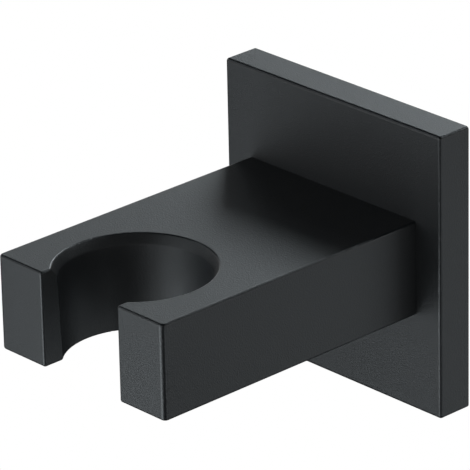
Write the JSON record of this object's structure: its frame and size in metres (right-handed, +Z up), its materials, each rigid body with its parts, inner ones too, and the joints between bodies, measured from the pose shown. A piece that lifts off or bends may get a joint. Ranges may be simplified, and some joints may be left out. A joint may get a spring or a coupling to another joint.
{
  "type": "hand shower holder",
  "caption": "Fixed square wall holder for a hand shower, with a straight arm and an open tapered cradle.",
  "frame": {"origin": "on the wall, in line with the middle of the arm, 0.4 mm above the middle of the square plate", "axes": "+Z up, +Y into the wall, so the arm stands out along -Y; +X to the right of someone who looks at the wall"},
  "size_m": [0.045, 0.056, 0.045],
  "materials": {
    "black_brass": "matt black coating on brass",
    "bracket_steel": "plain stainless steel",
    "screw_steel": "plain stainless steel"
  },
  "bodies": {
    "root": {"holder_arm": "black_brass", "wall_plate": "black_brass", "wall_bracket": "bracket_steel", "arm_screws": "screw_steel", "grub_screw": "screw_steel"}
  },
  "joints": []
}
